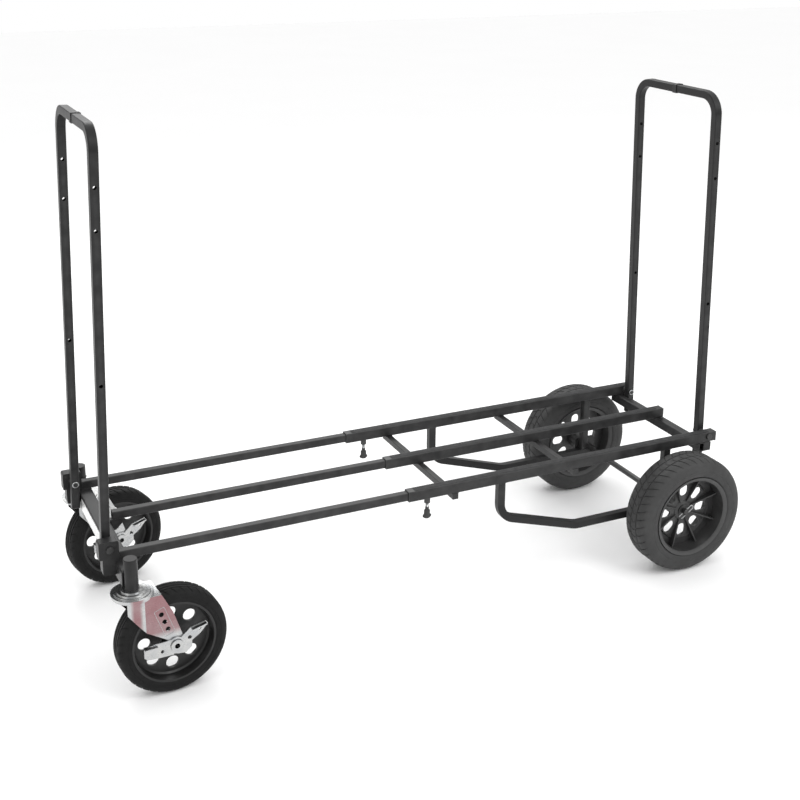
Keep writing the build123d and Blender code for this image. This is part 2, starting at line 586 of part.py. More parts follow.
def fork():
    """A pressed steel fork: crown, skirt and two legs, with the wheel's space open."""
    rear = CASTER_TRAIL + 2 * FORK_EYE_R
    low = CASTER_WHEEL_R - 2 * FORK_EYE_R
    outside = rod_z(0, 0, low, CROWN_LEVEL, 2 * SKIRT_R)
    outside += box(0, rear, -FORK_HALF, FORK_HALF, low, CROWN_LEVEL)
    wheel_space = box(-2 * CROWN_R, rear + CUT, -FORK_IN, FORK_IN, low - CUT, FORK_UNDER)
    skirt_space = rod_z(0, 0, low - CUT, FORK_UNDER, 2 * (SKIRT_R - FORK_WALL))
    shell = (outside & fork_outline()) - skirt_space - wheel_space
    shell += turned([(0, FORK_UNDER), (CROWN_PLATE_R, FORK_UNDER), (CROWN_PLATE_R, CROWN_LEVEL),
                     (CROWN_R, CROWN_LEVEL), (CROWN_R, CROWN_TOP), (0, CROWN_TOP)])
    shell -= rod_z(0, 0, FORK_UNDER - CUT, CROWN_TOP + CUT, KINGPIN_D)
    shell -= rod_y(CASTER_TRAIL, CASTER_WHEEL_R, -2 * SKIRT_R, 2 * SKIRT_R, CASTER_AXLE_D)
    lean = atan2(FORK_REAR_TOP + CUT, FORK_REAR_KNEE[1])
    for step in (-1, 0, 1):
        x = CASTER_TRAIL - FORK_HOLE_MIDDLE[0] + step * FORK_HOLE_PITCH * sin(lean)
        z = CASTER_WHEEL_R + FORK_HOLE_MIDDLE[1] - step * FORK_HOLE_PITCH * cos(lean)
        shell -= rod_y(x, z, -2 * SKIRT_R, 2 * SKIRT_R, FORK_HOLE_D)
    return shell


def caster_hub():
    """The hub about Z: rim, recessed web with round holes, and boss."""
    rim = CASTER_TYRE_BORE
    web = CASTER_WEB / 2
    half = CASTER_HUB_W / 2
    inner = rim - CASTER_RIM_WALL
    bore = CASTER_AXLE_D / 2 + WHEEL_GAP
    boss = CASTER_BOSS_R
    hub = turned([
        (bore, -CASTER_BOSS_HALF), (boss, -CASTER_BOSS_HALF), (boss + 1.5, -web - 2), (boss + 4, -web),
        (inner - 6, -web), (inner - 3, -web - 3), (inner, -half), (rim, -half), (rim, half),
        (inner, half), (inner - 3, web + 3), (inner - 6, web), (boss + 4, web), (boss + 1.5, web + 2),
        (boss, CASTER_BOSS_HALF), (bore, CASTER_BOSS_HALF)])
    for index in range(CASTER_HOLES):
        angle = 360 / CASTER_HOLES * index
        hub -= Rot(0, 0, angle) * Pos(CASTER_HOLE_R, 0, 0) * Cylinder(CASTER_HOLE_D / 2, CASTER_WEB * 3)
    return hub


def rounded_tyre(radius, bore, width, bead, shoulder):
    """A tyre about Z with round shoulders and straight sidewalls."""
    half = width / 2
    edge = radius - shoulder
    bend = shoulder * (1 - sin(radians(45)))
    edges = [
        Line((bore, 0, -bead), (bore, 0, bead)),
        Line((bore, 0, bead), (bore + 4, 0, half)),
        Line((bore + 4, 0, half), (edge, 0, half)),
        ThreePointArc((edge, 0, half), (radius - bend, 0, half - bend), (radius, 0, half - shoulder)),
        Line((radius, 0, half - shoulder), (radius, 0, shoulder - half)),
        ThreePointArc((radius, 0, shoulder - half), (radius - bend, 0, bend - half), (edge, 0, -half)),
        Line((edge, 0, -half), (bore + 4, 0, -half)),
        Line((bore + 4, 0, -half), (bore, 0, -bead)),
    ]
    return revolve(make_face(Curve() + edges), axis=Axis.Z)


def lever_outline():
    """The brake lever's flat blade about the wheel's axle, in the XZ plane."""
    blade = Circle(LEVER_EYE_R)
    for arm in (LEVER_FRONT_ARM, LEVER_REAR_ARM):
        blade += make_face(Polyline(*arm, close=True))
    for back, up, diameter in LEVER_HOLES:
        blade -= Pos(back, up) * Circle(diameter / 2)
    return blade - Pos(*LEVER_SLOT) * Rot(0, 0, LEVER_SLOT_ANGLE) * SlotOverall(*LEVER_SLOT_SIZE)


def brake_lever():
    """The blade with a foot pad folded outward at each end."""
    x = CASTER_TRAIL
    z = CASTER_WHEEL_R
    y = -(FORK_HALF + LEVER_GAP)
    plane = Plane(origin=(x, y, z), x_dir=(1, 0, 0), z_dir=(0, -1, 0))
    blade = extrude(plane * lever_outline(), LEVER_THICK)
    edge = y - LEVER_THICK - LEVER_TAB
    start, end, height = FRONT_PAD
    front_pad = box(x + start, x + end, y, edge, z + height, z + height + LEVER_THICK)
    rear_pad = Pos(x + REAR_PAD[0], (y + edge) / 2, z + REAR_PAD[1]) * Rot(0, -REAR_PAD_ANGLE, 0)
    rear_pad *= Box(REAR_PAD_LENGTH, LEVER_TAB + LEVER_THICK, LEVER_THICK)
    lever = blade + front_pad + rear_pad
    return lever - rod_y(x, z, y + CUT, edge - CUT, 2 * (AXLE_RING_R + LEVER_GAP))


def caster_axle():
    """The hollow axle with a ring at each end outside the fork."""
    x = CASTER_TRAIL
    z = CASTER_WHEEL_R
    end = FORK_HALF + AXLE_RING_H
    axle = rod_y(x, z, -FORK_HALF, FORK_HALF, CASTER_AXLE_D)
    axle += rod_y(x, z, -end, -FORK_HALF, 2 * AXLE_RING_R) + rod_y(x, z, FORK_HALF, end, 2 * AXLE_RING_R)
    return axle - rod_y(x, z, -end - CUT, end + CUT, AXLE_RING_BORE)


def kingpin():
    """The bolt that holds the fork up in the socket."""
    pin = rod_z(0, 0, FORK_UNDER, SOCKET_TOP - SOCKET_CAP - CUT, KINGPIN_D - 2 * WHEEL_GAP)
    nut = Pos(0, 0, FORK_UNDER - KINGPIN_NUT_H) * RegularPolygon(KINGPIN_NUT / 2, 6)
    return pin + extrude(nut, KINGPIN_NUT_H)


def casters():
    tyre = rounded_tyre(CASTER_WHEEL_R, CASTER_TYRE_BORE, CASTER_TYRE_W, CASTER_HUB_W / 2,
                        CASTER_SHOULDER)
    hub = caster_hub()
    for side, sign in SIDES:
        turn = LEFT_CASTER_TURN if sign < 0 else RIGHT_CASTER_TURN
        place = Pos(CASTER_X, sign * CASTER_Y, 0) * Rot(0, 0, turn)
        wheel = place * wheel_frame(CASTER_TRAIL, 0, CASTER_WHEEL_R, -1)
        save(f"{side}_caster_fork", place * fork())
        save(f"{side}_caster_kingpin", place * kingpin())
        save(f"{side}_caster_axle", place * caster_axle())
        save(f"{side}_brake_lever", place * brake_lever())
        save(f"{side}_caster_hub", wheel * hub)
        save(f"{side}_caster_tyre", wheel * tyre)


# ---- rear wheels --------------------------------------------------------------------
def rear_rim():
    """The deep-dish rim about Z, outer side up."""
    inner = RIM_R - RIM_WALL
    web_low = REAR_WEB_OUT - REAR_WEB
    bore = AXLE_D / 2 + BUSH_WALL
    half = RIM_HALF
    lip = RIM_LIP
    boss_out = REAR_WEB_OUT + REAR_BOSS_RISE
    rim = turned([
        (bore, REAR_BOSS_IN), (REAR_BOSS_R, REAR_BOSS_IN), (REAR_BOSS_R, web_low), (inner, web_low),
        (inner, -half), (RIM_LIP_R, -half - lip), (RIM_LIP_R, -half), (RIM_R, -half + lip),
        (RIM_R, half - lip), (RIM_LIP_R, half), (RIM_LIP_R, half + lip), (inner, half),
        (inner, REAR_WEB_OUT), (RIM_RING_R + RIM_RING_HALF, REAR_WEB_OUT),
        (RIM_RING_R, REAR_WEB_OUT + RIM_RING_RISE), (RIM_RING_R - RIM_RING_HALF, REAR_WEB_OUT),
        (REAR_BOSS_R + REAR_BOSS_RISE, REAR_WEB_OUT), (REAR_BOSS_R, boss_out), (bore, boss_out)])
    window = SlotOverall(WINDOW_LENGTH, WINDOW_WIDTH)
    ribs = []
    for index in range(RIM_SPOKES):
        angle = 360 / RIM_SPOKES * index
        rim -= Rot(0, 0, angle) * Pos(WINDOW_R, 0, web_low - CUT) * extrude(window, 3 * REAR_WEB)
        rib = Polyline((REAR_BOSS_R, 0, REAR_WEB_OUT - CUT), (inner + CUT, 0, REAR_WEB_OUT - CUT),
                       (inner + CUT, 0, RIM_RIB_RIM), (REAR_BOSS_R, 0, RIM_RIB_HUB), close=True)
        blade = extrude(make_face(rib), RIM_RIB / 2, both=True)
        ribs.append(Rot(0, 0, angle + 180 / RIM_SPOKES) * blade)
    for rib in ribs:
        rim += rib
    return rim


def cotter_place(sign):
    """Where a hairpin's straight leg crosses the axle, outside the washer."""
    y = sign * (REAR_WHEEL_Y + REAR_WEB_OUT + REAR_BOSS_RISE + WASHER_H + COTTER_OUT / 2)
    return Pos(AXLE_X, y, REAR_WHEEL_R) * Rot(0, COTTER_LEAN, 0)


def cotter(sign):
    """A hairpin: one leg through the axle, one leg around it, joined by a half turn."""
    half = COTTER_LENGTH / 2
    gap = COTTER_GAP
    route = Line((0, 0, -half), (0, 0, half))
    route += ThreePointArc((0, 0, half), (gap / 2, 0, half + gap / 2), (gap, 0, half))
    route += Line((gap, 0, half), (gap, 0, -half + COTTER_D))
    section = Plane(origin=(0, 0, -half), z_dir=(0, 0, 1)) * Circle(COTTER_D / 2)
    return cotter_place(sign) * sweep(section, path=route)


def rear_wheels():
    rim = rear_rim()
    tyre = rounded_tyre(REAR_WHEEL_R, RIM_LIP_R, REAR_WHEEL_W, RIM_HALF, REAR_SHOULDER)
    boss_out = REAR_WHEEL_Y + REAR_WEB_OUT + REAR_BOSS_RISE
    boss_in = REAR_WHEEL_Y + REAR_BOSS_IN
    end = boss_out + AXLE_END
    axle = rod_y(AXLE_X, REAR_WHEEL_R, -end, end, AXLE_D)
    axle = chamfer(axle.edges(), 1)
    for side, sign in SIDES:
        axle -= cotter_place(sign) * Cylinder(COTTER_D / 2 + WHEEL_GAP, 2 * AXLE_D)
    save("rear_axle", axle)
    washers = []
    for side, sign in SIDES:
        place = wheel_frame(AXLE_X, sign * REAR_WHEEL_Y, REAR_WHEEL_R, sign)
        save(f"{side}_rear_rim", place * rim)
        save(f"{side}_rear_tyre", place * tyre)
        bush = ring_y(AXLE_X, REAR_WHEEL_R, sign * boss_in, sign * boss_out,
                      AXLE_D + 2 * BUSH_WALL, AXLE_D + 2 * WHEEL_GAP)
        save(f"{side}_wheel_bush", bush)
        washers.append(ring_y(AXLE_X, REAR_WHEEL_R, sign * (boss_out + WHEEL_GAP),
                              sign * (boss_out + WHEEL_GAP + WASHER_H), 2 * WASHER_R, AXLE_D))
        plate_out = RAIL_Y + LOOP_TUBE / 2 + AXLE_PLATE_THICK
        washers.append(ring_y(AXLE_X, REAR_WHEEL_R, sign * plate_out, sign * (boss_in - WHEEL_GAP),
                              AXLE_D + 2 * AXLE_SPACER_WALL, AXLE_D))
    save("axle_washers", *washers)
    save("axle_cotter_pins", *[cotter(sign) for side, sign in SIDES])


# ---- thumb screws -------------------------------------------------------------------
def screw_nut(y):
    top = RAIL_BOTTOM
    return (rod_z(SCREW_X, y, top - SCREW_BOSS_H, top, SCREW_BOSS_D)
            - rod_z(SCREW_X, y, top - SCREW_BOSS_H - CUT, top + CUT, SCREW_D + 2 * SCREW_GAP))


def thumb_screw(name, y):
    shank = rod_z(SCREW_X, y, KNOB_TOP, INNER_BOTTOM - SCREW_GAP, SCREW_D)
    hub = rod_z(SCREW_X, y, KNOB_TOP - KNOB_HUB_H, KNOB_TOP, 2 * KNOB_HUB_R)
    wing = box(SCREW_X - KNOB_HALF, SCREW_X + KNOB_HALF, y - KNOB_THICK / 2, y + KNOB_THICK / 2,
               KNOB_BOTTOM, KNOB_TOP - KNOB_STEP)
    wing = fillet(wing.edges().filter_by(Axis.Y), KNOB_ROUND)
    save(name, shank + hub + wing)


def thumb_screws():
    for side, sign in SIDES:
        thumb_screw(f"{side}_thumb_screw", sign * RAIL_Y)


rear_frame()
front_frame()
handles()
casters()
rear_wheels()
thumb_screws()
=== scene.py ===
"""Looks of the convertible hand truck: materials, tread, welds and small fittings.

Metres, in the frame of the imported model: +X from the caster end to the big-wheel end,
+Z up, floor at z = 0.
"""

import json
import math

import bpy
from mathutils import Matrix, Vector


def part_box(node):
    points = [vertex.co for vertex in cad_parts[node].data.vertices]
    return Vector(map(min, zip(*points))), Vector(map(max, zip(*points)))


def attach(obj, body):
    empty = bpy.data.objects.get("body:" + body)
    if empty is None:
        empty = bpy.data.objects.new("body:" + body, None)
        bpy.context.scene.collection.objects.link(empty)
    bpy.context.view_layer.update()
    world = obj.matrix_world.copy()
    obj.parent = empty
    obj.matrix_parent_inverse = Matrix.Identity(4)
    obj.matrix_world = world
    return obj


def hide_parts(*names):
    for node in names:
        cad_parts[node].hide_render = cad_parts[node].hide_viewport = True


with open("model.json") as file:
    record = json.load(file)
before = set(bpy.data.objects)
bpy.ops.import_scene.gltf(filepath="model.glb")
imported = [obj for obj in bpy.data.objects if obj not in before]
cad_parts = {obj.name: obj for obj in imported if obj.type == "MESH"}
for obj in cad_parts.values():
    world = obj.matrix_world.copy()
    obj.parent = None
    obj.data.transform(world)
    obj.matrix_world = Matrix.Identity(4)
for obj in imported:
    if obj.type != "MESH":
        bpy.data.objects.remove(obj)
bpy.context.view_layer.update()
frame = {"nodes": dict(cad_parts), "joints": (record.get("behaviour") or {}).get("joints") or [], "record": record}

MM = 0.001
SIDES = (("left", -1), ("right", 1))
NODES = frame["nodes"]
JOINTS = {joint["name"]: joint for joint in frame["joints"]}
RAIL_LOW, RAIL_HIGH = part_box("left_outer_rail")
RAIL_BOTTOM = RAIL_LOW.z
RAIL_Y = (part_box("right_outer_rail")[0].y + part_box("right_outer_rail")[1].y) / 2
RAIL_SIZE = RAIL_HIGH.z - RAIL_LOW.z

# ---- camera: the viewing angle of a three-quarter product view ----------------------
CAMERA_PLACE = (-1.042, -2.163, 1.349)
CAMERA_YAW = 0.4438
CAMERA_PITCH = -0.3174
CAMERA_ROLL = 0.0089
CAMERA_LENS = 57.3
CAMERA_SHIFT = -0.1


# ---- node helpers -------------------------------------------------------------------
def new_material(name):
    """A material with its node tree and its shader."""
    material = bpy.data.materials.new(name)
    material.use_nodes = True
    return material, material.node_tree, material.node_tree.nodes["Principled BSDF"]


def position(tree, stretch=(1, 1, 1)):
    """Object coordinates, which are the model's own metres."""
    place = tree.nodes.new("ShaderNodeTexCoord")
    mapping = tree.nodes.new("ShaderNodeMapping")
    mapping.inputs["Scale"].default_value = stretch
    tree.links.new(place.outputs["Object"], mapping.inputs["Vector"])
    return mapping.outputs["Vector"]


def noise(tree, scale, detail=3.0, stretch=(1, 1, 1)):
    """Smooth noise; scale is in features per metre."""
    node = tree.nodes.new("ShaderNodeTexNoise")
    node.inputs["Scale"].default_value = scale
    node.inputs["Detail"].default_value = detail
    tree.links.new(position(tree, stretch), node.inputs["Vector"])
    return node.outputs["Fac"]


def cells(tree, scale):
    """Distance to the nearest of randomly spread points."""
    node = tree.nodes.new("ShaderNodeTexVoronoi")
    node.inputs["Scale"].default_value = scale
    tree.links.new(position(tree), node.inputs["Vector"])
    return node.outputs["Distance"]


def spread(tree, value, low, high, start=0.3, end=0.7):
    """Maps start..end of a value to low..high."""
    node = tree.nodes.new("ShaderNodeMapRange")
    node.inputs["From Min"].default_value = start
    node.inputs["From Max"].default_value = end
    node.inputs["To Min"].default_value = low
    node.inputs["To Max"].default_value = high
    tree.links.new(value, node.inputs["Value"])
    return node.outputs["Result"]


def maths(tree, operation, first, second):
    """A maths node; each input is a socket or a number."""
    node = tree.nodes.new("ShaderNodeMath")
    node.operation = operation
    for socket, value in zip(node.inputs, (first, second)):
        if isinstance(value, (int, float)):
            socket.default_value = value
        else:
            tree.links.new(value, socket)
    return node.outputs["Value"]


# The sockets of a mix node that carry colours.
MIX_IN = (6, 7)
MIX_OUT = 2


def blend_colours(tree, factor, first, second):
    """Mixes two colours, or a socket and a colour, by a factor socket."""
    node = tree.nodes.new("ShaderNodeMix")
    node.data_type = "RGBA"
    tree.links.new(factor, node.inputs["Factor"])
    for index, value in zip(MIX_IN, (first, second)):
        if isinstance(value, tuple):
            node.inputs[index].default_value = (*value, 1)
        else:
            tree.links.new(value, node.inputs[index])
    return node.outputs[MIX_OUT]


def add_bump(tree, shader, height, depth, strength=1.0, before=None):
    """Bumps a shader by a height socket, on top of an earlier bump if one is given."""
    node = tree.nodes.new("ShaderNodeBump")
    node.inputs["Distance"].default_value = depth
    node.inputs["Strength"].default_value = strength
    tree.links.new(height, node.inputs["Height"])
    if before is not None:
        tree.links.new(before, node.inputs["Normal"])
    tree.links.new(node.outputs["Normal"], shader.inputs["Normal"])
    return node.outputs["Normal"]


def edge_mask(tree, low, high):
    """1 on raised edges, 0 on flats and in corners."""
    geometry = tree.nodes.new("ShaderNodeNewGeometry")
    return spread(tree, geometry.outputs["Pointiness"], 0.0, 1.0, low, high)


# ---- materials ----------------------------------------------------------------------
# Where the painted rosy reflection on a fork's sides starts and fades in, and its colour.
REFLECTION_BOTTOM = JOINTS["left_caster_spin"]["pos_m"][2] + 0.022
REFLECTION_FADE = 0.012
ROSY_REFLECTION = (0.26, 0.125, 0.135)


def powder_coat():
    """Satin black powder coat: orange peel, faint dust, and paler raised edges that are partly worn paint and
    partly a painted highlight.
    """
    material, tree, shader = new_material("black_powder_coat")
    patches = spread(tree, noise(tree, 18, 4), 0.0, 1.0)
    paint = blend_colours(tree, patches, (0.0085, 0.0085, 0.0088), (0.0115, 0.0115, 0.0118))
    scuffs = noise(tree, 45, 4)
    # Paler raised edges: worn paint, and a painted highlight along the edges.
    worn_and_lit = maths(tree, "MULTIPLY", edge_mask(tree, 0.52, 0.64), spread(tree, scuffs, 0.1, 0.5))
    colour = blend_colours(tree, worn_and_lit, paint, (0.060, 0.060, 0.060))
    tree.links.new(colour, shader.inputs["Base Color"])
    tree.links.new(spread(tree, scuffs, 0.36, 0.42), shader.inputs["Roughness"])
    shader.inputs["Specular IOR Level"].default_value = 0.27
    add_bump(tree, shader, noise(tree, 900, 2), 0.00010, 0.35)
    return material


def zinc(name, painted_reflection):
    """Bright zinc plate: cloudy spangle and drawn grain. On a fork, a painted rosy reflection covers the sides
    facing along the axle, above the caster axle.
    """
    material, tree, shader = new_material(name)
    shader.inputs["Metallic"].default_value = 1.0
    clouds = spread(tree, noise(tree, 55, 4), 0.0, 1.0)
    colour = blend_colours(tree, clouds, (0.43, 0.44, 0.45), (0.54, 0.54, 0.53))
    # Painted reflection: faces turned along the axle, above the axle, are mixed towards a rosy colour.
    if painted_reflection:
        facing = tree.nodes.new("ShaderNodeTexCoord")
        split_facing = tree.nodes.new("ShaderNodeSeparateXYZ")
        tree.links.new(facing.outputs["Normal"], split_facing.inputs["Vector"])
        sideways = maths(tree, "ABSOLUTE", split_facing.outputs["Y"], 0)
        side = spread(tree, sideways, 0.0, 0.95, 0.94, 0.99)
        split_place = tree.nodes.new("ShaderNodeSeparateXYZ")
        tree.links.new(position(tree), split_place.inputs["Vector"])
        height = split_place.outputs["Z"]
        above_axle = spread(tree, height, 0.0, 1.0, REFLECTION_BOTTOM, REFLECTION_BOTTOM + REFLECTION_FADE)
        shade = maths(tree, "MULTIPLY", side, spread(tree, noise(tree, 25, 3), 0.80, 1.0))
        shade = maths(tree, "MULTIPLY", shade, above_axle)
        colour = blend_colours(tree, shade, colour, ROSY_REFLECTION)
    tree.links.new(colour, shader.inputs["Base Color"])
    grain = noise(tree, 260, 3, (0.3, 1, 1))
    tree.links.new(spread(tree, grain, 0.24, 0.33), shader.inputs["Roughness"])
    add_bump(tree, shader, grain, 0.00003, 0.1)
    return material


def moulded_plastic(name, tone, rough, grain_scale):
    """Moulded plastic: fine spark-eroded grain, and slightly paler edges as a painted highlight."""
    material, tree, shader = new_material(name)
    patches = spread(tree, noise(tree, 30, 4), 0.0, 1.0)
    body = blend_colours(tree, patches, (0.85 * tone,) * 3, (1.15 * tone,) * 3)
    # Painted highlight: raised edges are made paler.
    colour = blend_colours(tree, edge_mask(tree, 0.53, 0.66), body, (1.9 * tone,) * 3)
    tree.links.new(colour, shader.inputs["Base Color"])
    roughness = spread(tree, noise(tree, 120, 3), rough - 0.06, rough + 0.06)
    tree.links.new(roughness, shader.inputs["Roughness"])
    add_bump(tree, shader, noise(tree, grain_scale, 2), 0.0001, 0.45)
    return material


def rubber(name, tone, shine):
    """Solid tyre rubber: fine pitting, painted shade in the recesses and a dull bloom."""
    material, tree, shader = new_material(name)
    shader.inputs["Specular IOR Level"].default_value = shine
    bloom = spread(tree, noise(tree, 22, 5), 0.0, 1.0)
    body = blend_colours(tree, bloom, (0.85 * tone,) * 3, (1.15 * tone,) * 3)
    geometry = tree.nodes.new("ShaderNodeNewGeometry")
    # Painted shade: the colour darkens where pointiness marks a recess.
    recess_shade = spread(tree, geometry.outputs["Pointiness"], 0.55, 0.0, 0.38, 0.49)
    colour = blend_colours(tree, recess_shade, body, (0.45 * tone,) * 3)
    tree.links.new(colour, shader.inputs["Base Color"])
    tree.links.new(spread(tree, noise(tree, 80, 4), 0.56, 0.72), shader.inputs["Roughness"])
    pits = add_bump(tree, shader, cells(tree, 700), 0.00012, 0.35)
    add_bump(tree, shader, noise(tree, 45, 3), 0.0006, 0.3, pits)
    return material


def grip_tape():
    """A matt strip with a fine hard grit."""
    material, tree, shader = new_material("grip_strip")
    grit = cells(tree, 1500)
    height = spread(tree, grit, 0.0, 1.0, 0.1, 0.7)
    colour = blend_colours(tree, height, (0.020, 0.020, 0.020), (0.009, 0.009, 0.010))
    tree.links.new(colour, shader.inputs["Base Color"])
    tree.links.new(spread(tree, noise(tree, 90, 3), 0.62, 0.78), shader.inputs["Roughness"])
    add_bump(tree, shader, grit, 0.0002, 0.6)
    return material


def aluminium_plate():
    """Drawn aluminium: streaks along the cart's width."""
    material, tree, shader = new_material("satin_plate")
    shader.inputs["Metallic"].default_value = 0.85
    drawn = noise(tree, 260, 5, (1, 0.06, 1))
    streaks = spread(tree, drawn, 0.0, 1.0)
    colour = blend_colours(tree, streaks, (0.72, 0.72, 0.72), (0.86, 0.86, 0.85))
    tree.links.new(colour, shader.inputs["Base Color"])
    tree.links.new(spread(tree, drawn, 0.30, 0.46), shader.inputs["Roughness"])
    add_bump(tree, shader, drawn, 0.00006, 0.4)
    return material


MATERIALS = {
    "black_tube": powder_coat(),
    "plain_plate": aluminium_plate(),
    "guide_plastic": moulded_plastic("guide_plastic", 0.026, 0.45, 1100),
    "knob_plastic": moulded_plastic("knob_plastic", 0.022, 0.46, 1300),
    "zinc_steel": zinc("zinc_plate", False),
    "black_bolt": moulded_plastic("black_oxide", 0.018, 0.34, 1600),
    "black_plastic": moulded_plastic("hub_plastic", 0.004, 0.46, 900),
    "rim_plastic": moulded_plastic("rim_plastic", 0.032, 0.46, 900),
    "tyre_rubber": rubber("tyre_rubber", 0.037, 0.35),
}
CASTER_RUBBER = rubber("caster_rubber", 0.0065, 0.2)
# Zinc with a painted rosy reflection on a fork's sides.
ZINC_WITH_REFLECTION = zinc("zinc_plate_painted_reflection", True)
GRIP = grip_tape()


def paint(piece, material):
    piece.data.materials.clear()
    piece.data.materials.append(material)


def paint_cad():
    """Paints each modelled node by its slot; only the left fork gets the painted rosy reflection."""
    for row in frame["record"]["subparts"]:
        name = row["node"]
        # The left fork gets the zinc with the painted rosy reflection.
        painted_reflection = name == "left_caster_fork"
        paint(NODES[name], ZINC_WITH_REFLECTION if painted_reflection else MATERIALS[row["material_slot"]])


# ---- mesh helpers -------------------------------------------------------------------
def add_piece(name, points, faces, body, slot, material=None, sharp=35):
    """A mesh piece from points in metres, with smooth faces and sharp edges kept."""
    mesh = bpy.data.meshes.new(name)
    mesh.from_pydata([tuple(point) for point in points], [], faces)
    mesh.validate()
    mesh.update()
    mesh.shade_smooth()
    mesh.set_sharp_from_angle(angle=math.radians(sharp))
    piece = bpy.data.objects.new(name, mesh)
    bpy.context.scene.collection.objects.link(piece)
    paint(piece, material or MATERIALS[slot])
    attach(piece, body)
    return piece


def loft(rings, closed_rings=False):
    """Points and quads through rings of equal length; each ring is a closed loop."""
    count = len(rings[0])
    points = [point for ring in rings for point in ring]
    faces = []
    last = len(rings) if closed_rings else len(rings) - 1
    for row in range(last):
        following = (row + 1) % len(rings)
        for column in range(count):
            beside = (column + 1) % count
            faces.append((row * count + column, row * count + beside,
                          following * count + beside, following * count + column))
    if not closed_rings:
        faces.append(tuple(reversed(range(count))))
        faces.append(tuple(range((len(rings) - 1) * count, len(rings) * count)))
    return points, faces


def wheel_place(joint_name, outward):
    """The frame of a wheel: Y along the axle, away from the cart, X forward, Z up."""
    joint = JOINTS[joint_name]
    axle = Vector(joint["axis"]).normalized() * outward
    up = Vector((0, 0, 1))
    across = axle.cross(up)
    turn = Matrix((across, axle, up)).transposed().to_4x4()
    return Matrix.Translation(Vector(joint["pos_m"])) @ turn


# ---- tyres --------------------------------------------------------------------------
def tyre_mesh(rows, lugs, columns, slant, place):
    """A tyre from rows of (y, radius, cut, shift). Columns in a groove sink by the row's cut.

    shift is how far along the row lies on the slant of the grooves, from 0 to 1.
    """
    rings = []
    for y, radius, cut, shift in rows:
        ring = []
        for lug in range(lugs):
            for share, sunk in columns:
                angle = 2 * math.pi * (lug + share + slant * shift) / lugs
                reach = radius - cut * sunk
                local = Vector((reach * math.cos(angle), y, reach * math.sin(angle)))
                ring.append(place @ (local * MM))
        rings.append(ring)
    return loft(rings, True)


def mirrored(rows):
    """The outer half's rows, followed back by the inner half's."""
    other = [(-y, radius, cut, shift) for y, radius, cut, shift in reversed(rows) if y > 0]
    return other + rows


def arc_rows(centre_y, centre_r, radius, angles, cuts, shifts):
    """Rows round a shoulder; angle 0 faces out along the radius, 90 along the axle."""
    rows = []
    for angle, cut, shift in zip(angles, cuts, shifts):
        turn = math.radians(angle)
        y = centre_y + radius * math.sin(turn)
        reach = centre_r + radius * math.cos(turn)
        rows.append((y, reach, cut, shift))
    return rows


# Columns of one lug: the share of its length, and 1 where the groove is.
LUG_COLUMNS = ((0.0, 0), (0.28, 0), (0.56, 0), (0.84, 0), (0.875, 1), (0.965, 1))
REAR_LUGS = 44
REAR_SLANT = 1.1
CASTER_LUGS = 40
CASTER_SLANT = 0.7


def rear_tyre(side, sign):
    """10 by 3 inch tyre: two grooves round it, slanted lugs and a smooth sidewall."""
    rows = [(0, 126.6, 1.2, 0.0), (3.5, 126.6, 1.2, 0.12), (7.6, 126.5, 1.2, 0.25)]
    rows += [(8.0, 124.8, 0, 0.27), (9.6, 124.8, 0, 0.35), (10.0, 126.5, 1.6, 0.37)]
    rows += [(14.5, 126.6, 1.7, 0.47), (18.0, 126.6, 1.7, 0.56)]
    angles = (15, 28, 38, 44, 46, 54, 64, 77, 90)
    cuts = (1.7, 1.6, 1.4, 1.0, 0, 0, 0, 0, 0)
    shifts = (0.68, 0.80, 0.9, 1.0, 1.0, 1.0, 1.0, 1.0, 1.0)
    rows += arc_rows(18.0, 107, 19.7, angles, cuts, shifts)
    sidewall = ((37.7, 103.5), (37.3, 103.0), (37.3, 101.5), (37.7, 101.0),
                (37.7, 95.0), (36.6, 91.0), (34.6, 88.8), (33.0, 88.0))
    rows += [(y, radius, 0, 1.0) for y, radius in sidewall]
    place = wheel_place(f"{side}_rear_wheel_spin", sign)
    points, faces = tyre_mesh(mirrored(rows), REAR_LUGS, LUG_COLUMNS, REAR_SLANT, place)
    body = f"{side}_rear_wheel"
    piece = add_piece(f"{side}_rear_tyre_tread", points, faces, body, "tyre_rubber")
    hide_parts(f"{side}_rear_tyre")


def caster_tyre(side):
    """8 by 2 inch tyre: a ribbed middle and notched shoulders over a flat sidewall."""
    rows = [(0, 100.0, 0, 0.0), (1.2, 100.0, 0, 0.0), (1.8, 101.2, 0, 0.0)]
    rows += [(6.4, 101.3, 0, 0.1), (6.9, 99.8, 0, 0.1), (8.4, 99.8, 0, 0.15)]
    rows += [(8.9, 101.2, 0.9, 0.2), (10.75, 101.2, 1.2, 0.3)]
    angles = (18, 36, 50, 55, 60, 72, 90)
    cuts = (1.3, 1.3, 1.0, 0, 0, 0, 0)
    shifts = (0.5, 0.75, 0.95, 1.0, 1.0, 1.0, 1.0)
    rows += arc_rows(10.75, 88.5, 12.8, angles, cuts, shifts)
    sidewall = ((23.5, 87.0), (23.1, 86.6), (23.1, 85.8), (23.5, 85.4),
                (23.5, 81.5), (22.6, 79.2), (21.5, 78.0))
    rows += [(y, radius, 0, 1.0) for y, radius in sidewall]
    place = wheel_place(f"{side}_caster_spin", -1)
    points, faces = tyre_mesh(mirrored(rows), CASTER_LUGS, LUG_COLUMNS, CASTER_SLANT, place)
    piece = add_piece(f"{side}_caster_tyre_tread", points, faces, f"{side}_caster_wheel",
                      "tyre_rubber", CASTER_RUBBER)
    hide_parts(f"{side}_caster_tyre")


# ---- beads and welds ----------------------------------------------------------------
WELD_RADIUS = 0.0013
WELD_RIPPLE = 0.22
WELD_STEP = 0.0016
RAIL_WELD_SHARE = 0.42


